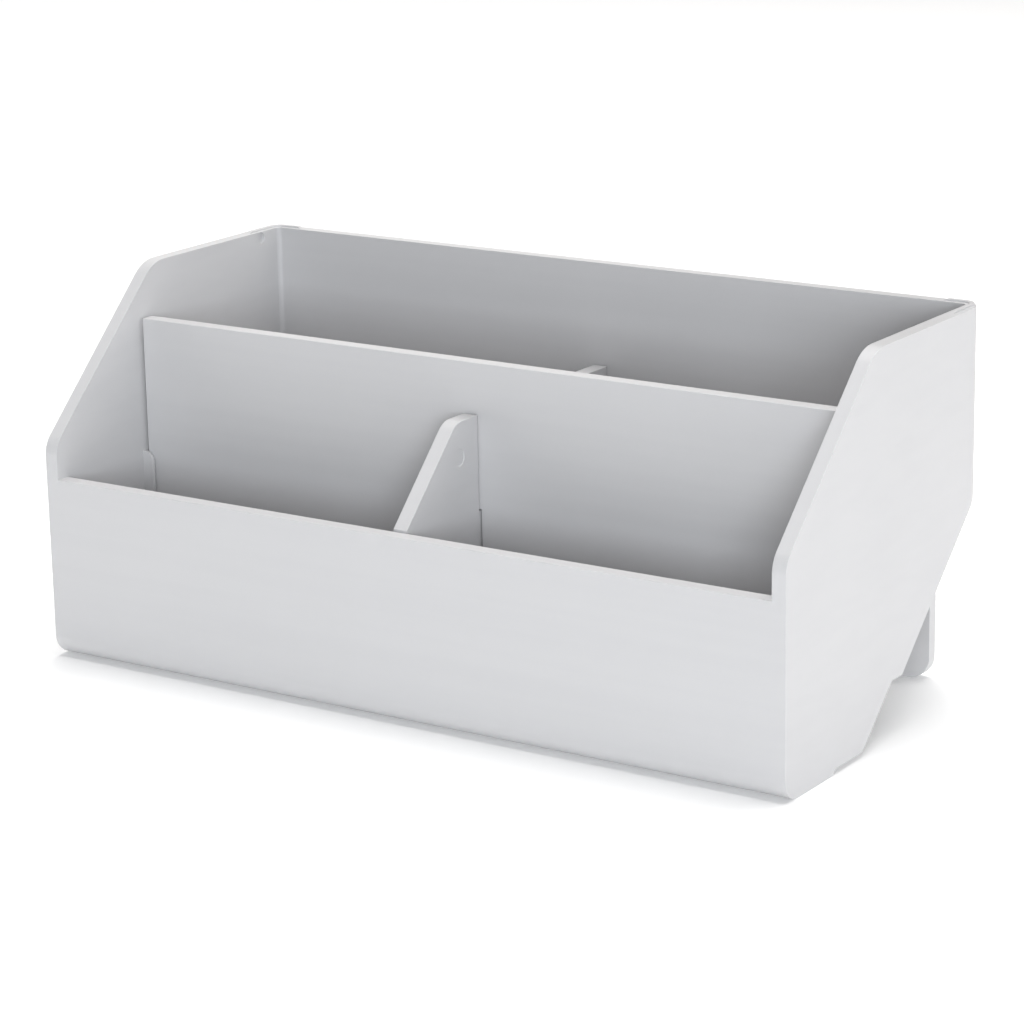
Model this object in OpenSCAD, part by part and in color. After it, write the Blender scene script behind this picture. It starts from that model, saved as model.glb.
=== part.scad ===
// Desk organizer: a one-piece moulded tub with a low front wall, sloped side plates and an
// underside that rises in steps to the back, split by two crossing panels that lift out.
// The front face looks along -Y, and the origin is on the desk, under the middle of the tub.

/* [Tub] */
// Width across the outer faces of the side plates
body_w = 240; // [220:1:260]
// Depth from the front face to the back face
body_d = 110; // [108:1:116]
// Height of the side plates and the back wall
body_h = 108; // [105:1:115]
// Height of the front wall
front_h = 53; // [51:1:57]
// Thickness of the side plates
wall_side = 4; // [3.5:0.5:5]
// Thickness of the front wall
wall_front = 4.4; // [3:0.2:5]
// Thickness of the back wall and the rear skirt
wall_back = 3.6; // [3.4:0.2:4.4]
// Thickness of the floor, measured square to it
floor_t = 3; // [2:0.5:3.5]

/* [Side outline] */
// Height on the front edge at which the side plates start to slope back
slope_foot_z = 63; // [60:1:68]
// Distance from the front face to the top end of the slope
slope_top_y = 46.5; // [42:0.5:52]
// Radius that blends the front edge into the slope
slope_foot_r = 8; // [4:1:10]
// Radius that blends the slope into the top edge
slope_top_r = 12; // [6:1:14]
// Radius along the bottom front edge and on the corners of the rear skirt
edge_r = 6.5; // [4:0.5:7]
// Radius of the two upright rear corners
rear_r = 8; // [6:0.5:8]

/* [Underside] */
// Depth of the front foot that stands on the desk
foot_d = 25; // [20:1:28]
// Height of the small step behind the front foot
step_h = 1.4; // [1:0.2:2]
// Distance from the front face to where the underside starts to rise
toe_y = 41.5; // [40:0.5:44]
// Angle at which the underside rises
rise_a = 43; // [40:1:44]
// Height of the short level shelf in the rising underside
shelf_z = 16.4; // [15:0.2:18]
// Depth of that shelf
shelf_d = 5.7; // [4:0.1:7]
// Radius where the underside starts to rise
toe_r = 6; // [3:0.5:8]
// Width of the skirt that carries the back wall down to the desk
skirt_w = 212.6; // [190:0.2:213]

/* [Dividers] */
// Height of the long divider's top edge
long_top_z = 92.5; // [88:0.5:98]
// Distance from the front face of the tub to the front face of the long divider
long_y = 39.5; // [38:0.5:40]
// Height of the cross divider's top edge
cross_top_z = 78; // [75:0.5:82]
// Distance from the front face to where the cross divider's slope meets its top edge
cross_top_y = 29; // [26:0.5:32]
// Radius that blends that slope into the top edge
cross_r = 7; // [4:0.5:9]
// Thickness of both dividers
divider_t = 4.4; // [3.4:0.2:4.8]
// Gap between the long divider's ends and the side plates
end_gap = 0.8; // [0.5:0.1:1.2]
// Running gap between the dividers, their slots and their guide ribs
slot_gap = 0.4; // [0.3:0.05:0.5]
// Height at which the two dividers' slots meet
lap_z = 51; // [44:0.5:56]

/* [Guides and details] */
// How far the guide ribs stand out from the walls
rib_out = 3.4; // [3:0.1:4]
// Thickness of the guide ribs
rib_t = 1.1; // [1:0.1:1.6]
// Height of the tops of the long divider's guide ribs
rib_top_z = 53; // [46:0.5:58]
// Height of the tops of the cross divider's guide ribs on the front wall
front_rib_top_z = 45; // [36:1:48]
// Height of the tops of the cross divider's guide ribs on the back wall
back_rib_top_z = 73; // [70:0.5:74]
// Height of the stacking lips on the rear corners
lip_h = 0.5; // [0.3:0.1:1]
// Width of the stacking lips
lip_w = 1.4; // [1:0.1:1.5]
// Diameter of the round dimples inside the side plates
dimple_d = 3.4; // [2.8:0.1:3.6]
// Diameter of the shallow round marks that the ejector pins leave
pin_mark_d = 5; // [4:0.5:6]

/* [Hidden] */
$fn = 64;
plastic = "whitesmoke";
overlap = 0.6;
// Added to a blend's radius, so that its arc crosses the edges it blends and isn't only tangent
graze = 0.004;
inner_x = body_w / 2 - wall_side;
inner_y = body_d - wall_back;
inner_r = 2.5;
corner_r = 1.5;
step_run = 2;
slope_a = atan2(body_h - slope_foot_z, slope_top_y);
shelf_y = toe_y + (shelf_z - step_h) / tan(rise_a);
shelf_end_y = shelf_y + shelf_d;
long_back_y = long_y + divider_t;
cross_x = divider_t / 2;
back_gap = 0.8;
lip_side_l = 13;
lip_back_l = 8;
lip_ramp = 3;
lip_inset = 1.1;
dimple_y = 97.6;
dimple_z = 106.1;
dimple_depth = 0.8;
pin_mark_depth = 0.25;
pin_marks = [[30, 68], [22, 22], [72, 60]];

// Heights of the rising line, lifted square to itself by t, at a distance y from the front face
function offset_shift(t) = t * tan(rise_a / 2);
function line_z(y, t) =
    y < toe_y - offset_shift(t) ? step_h + t :
    y < shelf_y - offset_shift(t) ? step_h + t + (y - toe_y + offset_shift(t)) * tan(rise_a) :
    y < shelf_end_y - offset_shift(t) ? shelf_z + t :
    shelf_z + t + (y - shelf_end_y + offset_shift(t)) * tan(rise_a);

// Corners of that line from y0 to y1
function line_points(y0, y1, t) = [
    [y0, line_z(y0, t)],
    for (y = [toe_y, shelf_y, shelf_end_y])
        if (y - offset_shift(t) > y0 && y - offset_shift(t) < y1)
            [y - offset_shift(t), line_z(y - offset_shift(t), t)],
    [y1, line_z(y1, t)]
];

function toward(angle, length) = length * [cos(angle), sin(angle)];

// What is cut off a convex corner at c, whose edges leave at angles a1 and a2, to leave radius r
module corner_cut(c, a1, a2, r) {
    half = (a2 - a1) / 2;
    mid = (a1 + a2) / 2;
    reach = r / tan(half);
    centre = c + toward(mid, r / sin(half));
    difference() {
        polygon([
            c - toward(mid, 1),
            c + toward(a1, reach),
            centre,
            c + toward(a2, reach)
        ]);
        translate(centre) circle(r + graze);
    }
}

// Draws a shape given in depth and height, and makes it width wide about x
module across(width, x = 0) {
    translate([x - width / 2, 0, 0])
        rotate([90, 0, 90])
            linear_extrude(width) children();
}

// Outline of the side plates
module side_outline() {
    foot = [[0, 0], [foot_d, 0], [foot_d + step_run, step_h]];
    rise = line_points(toe_y, body_d, 0);
    top = [[body_d, body_h], [slope_top_y, body_h], [0, slope_foot_z]];
    difference() {
        polygon(concat(foot, rise, top));
        corner_cut([0, 0], 0, 90, edge_r);
        corner_cut([toe_y, step_h], rise_a, 180, toe_r);
        corner_cut([0, slope_foot_z], -90, slope_a, slope_foot_r);
        corner_cut([slope_top_y, body_h], slope_a - 180, 0, slope_top_r);
    }
}

// Plan of the tub, half_w to each side and back to y, with rear corners of radius r
module plan(half_w, front_y, back_y, r) {
    difference() {
        translate([-half_w, front_y]) square([2 * half_w, back_y - front_y]);
        corner_cut([half_w, back_y], 180, 270, r);
        corner_cut([-half_w, back_y], 270, 360, r);
    }
}

// Hollow of the tub in depth and height, open above and over the front wall
module hollow_outline() {
    margin = 10;
    difference() {
        polygon(concat(
            line_points(wall_front, inner_y, floor_t),
            [
                [inner_y, body_h + margin],
                [-margin, body_h + margin],
                [-margin, front_h],
                [wall_front, front_h]
            ]
        ));
        corner_cut([wall_front, step_h + floor_t], 0, 90, inner_r);
    }
}

// Wall below the rising floor that stands on the desk
module rear_skirt() {
    top_z = line_z(body_d, 0) + overlap;
    translate([0, body_d, 0])
        rotate([90, 0, 0])
            linear_extrude(wall_back)
                difference() {
                    translate([-skirt_w / 2, 0]) square([skirt_w, top_z]);
                    corner_cut([-skirt_w / 2, 0], 0, 90, edge_r);
                    corner_cut([skirt_w / 2, 0], 90, 180, edge_r);
                }
}

// Outline of a guide rib: out from the wall, up to top_z, with a quarter-round shoulder
module rib_outline(low_z, top_z) {
    difference() {
        translate([-overlap, low_z]) square([rib_out + overlap, top_z - low_z]);
        corner_cut([rib_out, top_z], 180, 270, rib_out - 0.2);
    }
}

// Ribs on a side plate that guide one end of the long divider
module side_ribs() {
    for (y = [long_y - slot_gap - rib_t, long_back_y + slot_gap])
        translate([-inner_x, y + rib_t, 0])
            rotate([90, 0, 0])
                linear_extrude(rib_t)
                    rib_outline(line_z(y, floor_t) - overlap, rib_top_z);
}

// Ribs on the front and back walls that guide the ends of the cross divider
module end_ribs() {
    for (x = [-cross_x - slot_gap - rib_t / 2, cross_x + slot_gap + rib_t / 2]) {
        across(rib_t, x)
            translate([wall_front, 0])
                rib_outline(step_h + floor_t - overlap, front_rib_top_z);
        across(rib_t, x)
            translate([inner_y, 0])
                mirror([1, 0])
                    rib_outline(line_z(inner_y - rib_out, floor_t) - overlap, back_rib_top_z);
    }
}

// Outline of a stacking lip's arm, with a ramp at its free end
module lip_outline(length) {
    polygon([
        [0, -overlap],
        [length, -overlap],
        [length - lip_ramp, lip_h],
        [0, lip_h]
    ]);
}

// Raised lip around one rear corner, set in from the hollow's edge
module stacking_lip() {
    bend_r = corner_r + lip_inset;
    translate([inner_x - corner_r, inner_y - corner_r, body_h]) {
        translate([bend_r, 0, 0])
            rotate([90, 0, -90])
                mirror([0, 0, 1])
                    linear_extrude(lip_w) lip_outline(lip_side_l);
        translate([0, bend_r + lip_w, 0])
            rotate([90, 0, 0])
                linear_extrude(lip_w)
                    mirror([1, 0]) lip_outline(lip_back_l);
        translate([0, 0, -overlap])
            rotate_extrude(angle = 90)
                translate([bend_r, 0]) square([lip_w, lip_h + overlap]);
    }
}

module tub() {
    color(plastic)
        translate([0, -body_d / 2, 0])
            difference() {
                union() {
                    difference() {
                        union() {
                            intersection() {
                                across(body_w) side_outline();
                                linear_extrude(body_h + 1)
                                    plan(body_w / 2, -1, body_d, rear_r);
                            }
                            rear_skirt();
                        }
                        intersection() {
                            across(body_w) hollow_outline();
                            linear_extrude(2 * body_h)
                                plan(inner_x, -1, inner_y, corner_r);
                        }
                    }
                    side_ribs();
                    mirror([1, 0, 0]) side_ribs();
                    end_ribs();
                    stacking_lip();
                    mirror([1, 0, 0]) stacking_lip();
                }
                for (side = [-1, 1])
                    translate([side * (inner_x + dimple_depth / 2), dimple_y, dimple_z])
                        rotate([0, 90, 0])
                            cylinder(d = dimple_d, h = dimple_depth + 0.02, center = true);
            }
}

module long_divider() {
    length = 2 * (inner_x - end_gap);
    low_z = line_z(long_y, floor_t) + slot_gap;
    color(plastic)
        translate([0, -body_d / 2, 0])
            difference() {
                across(length)
                    polygon(concat(
                        line_points(long_y, long_back_y, floor_t + slot_gap),
                        [[long_back_y, long_top_z], [long_y, long_top_z]]
                    ));
                translate([-cross_x - slot_gap, long_y - 1, low_z - 1])
                    cube([divider_t + 2 * slot_gap, divider_t + 2, lap_z + slot_gap / 2 - low_z + 1]);
            }
}

// Outline of the cross divider, following the floor
module cross_outline() {
    front_y = wall_front + slot_gap;
    back_y = inner_y - back_gap;
    shoulder_z = front_h + 0.6;
    top_a = atan2(cross_top_z - shoulder_z, cross_top_y - front_y);
    difference() {
        polygon(concat(
            line_points(front_y, back_y, floor_t + slot_gap),
            [[back_y, cross_top_z], [cross_top_y, cross_top_z], [front_y, shoulder_z]]
        ));
        corner_cut([cross_top_y, cross_top_z], top_a - 180, 0, cross_r);
        corner_cut([front_y, line_z(front_y, floor_t + slot_gap)], 0, 90, inner_r);
    }
}

module cross_divider() {
    color(plastic)
        translate([0, -body_d / 2, 0])
            difference() {
                across(divider_t) cross_outline();
                translate([-divider_t, long_y - slot_gap, lap_z - slot_gap / 2])
                    cube([2 * divider_t, divider_t + 2 * slot_gap, cross_top_z]);
                for (p = pin_marks)
                    translate([cross_x, p[0], p[1]])
                        rotate([0, 90, 0])
                            cylinder(d = pin_mark_d, h = 2 * pin_mark_depth, center = true);
            }
}

tub();
long_divider();
cross_divider();
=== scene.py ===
"""Looks of the desk organizer: a satin white moulded tub with two crossing lift-out dividers."""

import math

import bpy
from mathutils import Matrix, Vector

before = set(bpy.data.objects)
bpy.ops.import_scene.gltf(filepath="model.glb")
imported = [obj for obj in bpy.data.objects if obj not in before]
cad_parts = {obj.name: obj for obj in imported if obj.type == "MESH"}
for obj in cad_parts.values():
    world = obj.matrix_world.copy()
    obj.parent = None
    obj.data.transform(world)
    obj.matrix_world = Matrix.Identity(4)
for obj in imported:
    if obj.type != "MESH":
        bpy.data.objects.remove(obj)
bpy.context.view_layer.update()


# ---------------------------------------------------------------- soft moulded edges
WELD_GAP = 2e-6
FLAT_ANGLE = math.radians(0.4)
EDGE_ANGLE = math.radians(24)
EDGE_SEGMENTS = 3
FACE_WEIGHT = 90


def soften(node, width):
    """Rounds a moulding's edges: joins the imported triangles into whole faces, then bevels their edges."""
    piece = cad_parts[node]
    weld = piece.modifiers.new("join_triangles", "WELD")
    weld.merge_threshold = WELD_GAP
    flat = piece.modifiers.new("whole_faces", "DECIMATE")
    flat.decimate_type = "DISSOLVE"
    flat.angle_limit = FLAT_ANGLE
    bevel = piece.modifiers.new("soft_edges", "BEVEL")
    bevel.width = width
    bevel.segments = EDGE_SEGMENTS
    bevel.limit_method = "ANGLE"
    bevel.angle_limit = EDGE_ANGLE
    bevel.use_clamp_overlap = True
    bevel.harden_normals = True
    normals = piece.modifiers.new("face_normals", "WEIGHTED_NORMAL")
    normals.keep_sharp = False
    normals.weight = FACE_WEIGHT
    return piece


# ---------------------------------------------------------------- materials
# Noise scales in features per metre, from the mould's grain up to a slow drift of the colour
GRAIN_SCALE, PEEL_SCALE, WAVE_SCALE, CLOUD_SCALE = 5200.0, 420.0, 26.0, 9.0
# The resin flows across the width, so its streaks are long in X and fine in Z
FLOW_STRETCH = (6.0, 60.0, 260.0)
DRIFT_SHADE = 0.985
STREAK_TINT = (0.985, 0.985, 0.987, 1)
# Strength and depth in metres of each layer of relief
WAVE_RELIEF, PEEL_RELIEF, GRAIN_RELIEF = (0.10, 0.00025), (0.10, 0.00004), (0.16, 0.00001)


def satin_plastic(name, colour, roughness, seed):
    """White moulded plastic: spark-eroded grain, orange peel, slow waviness and flow streaks."""
    mat = bpy.data.materials.new(name)
    mat.use_nodes = True
    nodes, links = mat.node_tree.nodes, mat.node_tree.links
    nodes.clear()
    out = nodes.new("ShaderNodeOutputMaterial")
    bsdf = nodes.new("ShaderNodeBsdfPrincipled")
    bsdf.inputs["IOR"].default_value = 1.5
    bsdf.inputs["Specular IOR Level"].default_value = 0.45
    links.new(bsdf.outputs["BSDF"], out.inputs["Surface"])

    coord = nodes.new("ShaderNodeTexCoord")
    place = nodes.new("ShaderNodeMapping")
    place.inputs["Location"].default_value = (seed, 0.37 * seed, 0.11 * seed)
    links.new(coord.outputs["Object"], place.inputs["Vector"])

    def noise(scale, detail, rough=0.5, vector=place):
        texture = nodes.new("ShaderNodeTexNoise")
        texture.inputs["Scale"].default_value = scale
        texture.inputs["Detail"].default_value = detail
        texture.inputs["Roughness"].default_value = rough
        links.new(vector.outputs["Vector"], texture.inputs["Vector"])
        return texture.outputs["Fac"]

    def spread(source, low, high):
        scaled = nodes.new("ShaderNodeMapRange")
        scaled.inputs["From Min"].default_value = 0.3
        scaled.inputs["From Max"].default_value = 0.7
        scaled.inputs["To Min"].default_value = low
        scaled.inputs["To Max"].default_value = high
        links.new(source, scaled.inputs["Value"])
        return scaled.outputs["Result"]

    def ramp(source, start, end, dark, light):
        tones = nodes.new("ShaderNodeValToRGB")
        first, last = tones.color_ramp.elements
        first.position, first.color = start, dark
        last.position, last.color = end, light
        links.new(source, tones.inputs["Fac"])
        return tones.outputs["Color"]

    grain = noise(GRAIN_SCALE, 2.0, 0.6)
    peel = noise(PEEL_SCALE, 3.0)
    wave = noise(WAVE_SCALE, 2.0)
    cloud = noise(CLOUD_SCALE, 4.0, 0.55)
    stretch = nodes.new("ShaderNodeMapping")
    stretch.inputs["Scale"].default_value = FLOW_STRETCH
    links.new(place.outputs["Vector"], stretch.inputs["Vector"])
    flow = noise(1.0, 3.0, vector=stretch)

    # Colour: a slow drift, darkened a little by the flow streaks
    drift = ramp(cloud, 0.3, 0.7, (*[c * DRIFT_SHADE for c in colour], 1), (*colour, 1))
    streaks = ramp(flow, 0.35, 0.6, STREAK_TINT, (1, 1, 1, 1))
    blend = nodes.new("ShaderNodeMix")
    blend.data_type = "RGBA"
    blend.blend_type = "MULTIPLY"
    # The colour sockets of a Mix node share their names with its other types, so they go by index
    factor, first, second, result = (*[blend.inputs[i] for i in (0, 6, 7)], blend.outputs[2])
    factor.default_value = 1.0
    links.new(drift, first)
    links.new(streaks, second)
    links.new(result, bsdf.inputs["Base Color"])

    # Roughness: satin, slowly varying, with the grain on top
    rough = nodes.new("ShaderNodeMath")
    rough.operation = "ADD"
    links.new(spread(wave, roughness - 0.05, roughness + 0.04), rough.inputs[0])
    links.new(spread(grain, -0.03, 0.03), rough.inputs[1])
    links.new(rough.outputs["Value"], bsdf.inputs["Roughness"])

    # Relief: grain over a slight orange peel over the waviness of a cooled wall
    below = None
    for height, (strength, depth) in ((wave, WAVE_RELIEF), (peel, PEEL_RELIEF), (grain, GRAIN_RELIEF)):
        bump = nodes.new("ShaderNodeBump")
        bump.inputs["Strength"].default_value = strength
        bump.inputs["Distance"].default_value = depth
        links.new(height, bump.inputs["Height"])
        if below:
            links.new(below.outputs["Normal"], bump.inputs["Normal"])
        below = bump
    links.new(below.outputs["Normal"], bsdf.inputs["Normal"])
    return mat


WHITE = (0.575, 0.570, 0.575)
# Edge width, roughness and texture offset of each moulding
LOOKS = {
    "tub": (0.0004, 0.40, 3.1),
    "long_divider": (0.0003, 0.42, 7.7),
    "cross_divider": (0.00012, 0.42, 12.9),
}
for node, (edge, roughness, seed) in LOOKS.items():
    slots = soften(node, edge).data.materials
    slots.clear()
    slots.append(satin_plastic(f"{node}_satin_white", WHITE, roughness, seed))


# ---------------------------------------------------------------- stage
FLOOR_HALF = 6.0


def backdrop():
    """White floor that glows a little, as a light table does, so that it lifts the low faces."""
    mesh = bpy.data.meshes.new("studio_floor")
    corners = [(-1, -1), (1, -1), (1, 1), (-1, 1)]
    mesh.from_pydata([(x * FLOOR_HALF, y * FLOOR_HALF, 0) for x, y in corners], [], [(0, 1, 2, 3)])
    floor = bpy.data.objects.new("studio_floor", mesh)
    bpy.context.scene.collection.objects.link(floor)
    mat = bpy.data.materials.new("studio_white")
    mat.use_nodes = True
    bsdf = mat.node_tree.nodes["Principled BSDF"]
    bsdf.inputs["Base Color"].default_value = (0.93, 0.93, 0.93, 1)
    bsdf.inputs["Roughness"].default_value = 0.9
    bsdf.inputs["Specular IOR Level"].default_value = 0.1
    bsdf.inputs["Emission Color"].default_value = (1, 1, 1, 1)
    bsdf.inputs["Emission Strength"].default_value = 0.12
    mesh.materials.append(mat)


AIM = Vector((0, 0, 0.05))
NEUTRAL, COOL, WARM = (1, 1, 1), (0.92, 0.96, 1.0), (1.0, 0.99, 0.98)
# Place and size in metres, power in watts and colour of each softbox
SOFTBOXES = {
    "top_softbox": ((0.0, 0.35, 1.95), (1.6, 1.6), 46.0, WARM),
    "camera_side_softbox": ((1.25, -1.85, 0.5), (1.2, 0.8), 35.0, COOL),
    "rear_right_softbox": ((1.8, 1.4, 1.1), (2.0, 1.4), 17.0, WARM),
    "rear_left_softbox": ((-1.8, 1.4, 1.1), (2.0, 1.4), 10.0, WARM),
    "left_softbox": ((-2.2, -0.2, 0.9), (1.6, 1.4), 10.0, NEUTRAL),
    "right_softbox": ((2.2, -0.5, 0.55), (1.4, 0.9), 4.0, COOL),
}


def softbox(name, place, size, power, colour):
    data = bpy.data.lights.new(name, "AREA")
    data.shape = "RECTANGLE"
    data.size, data.size_y = size
    data.energy = power
    data.color = colour
    lamp = bpy.data.objects.new(name, data)
    lamp.location = place
    lamp.rotation_euler = (AIM - Vector(place)).to_track_quat("-Z", "Y").to_euler()
    bpy.context.scene.collection.objects.link(lamp)


backdrop()
for name, settings in SOFTBOXES.items():
    softbox(name, *settings)

world = bpy.data.worlds.new("studio")
world.use_nodes = True
sky = world.node_tree.nodes["Background"]
sky.inputs["Color"].default_value = (1, 1, 1, 1)
sky.inputs["Strength"].default_value = 0.02
scene = bpy.context.scene
scene.world = world
scene.view_settings.view_transform = "Standard"


# ---------------------------------------------------------------- camera
# The photograph's view, from the perspective of the organizer's straight edges
CAMERA_PLACE = (0.5068, -0.7513, 0.2994)
CAMERA_AROUND, CAMERA_DOWN, CAMERA_ROLL = (math.radians(a) for a in (33.88, 15.60, -1.09))


def camera():
    data = bpy.data.cameras.new("camera")
    data.sensor_width = 36.0
    data.lens = 118.5
    data.clip_end = 50.0
    cam = bpy.data.objects.new("camera", data)
    turn = (
        Matrix.Rotation(CAMERA_AROUND, 4, "Z")
        @ Matrix.Rotation(math.pi / 2 - CAMERA_DOWN, 4, "X")
        @ Matrix.Rotation(CAMERA_ROLL, 4, "Z")
    )
    cam.matrix_world = Matrix.Translation(CAMERA_PLACE) @ turn
    scene.collection.objects.link(cam)
    scene.camera = cam


camera()
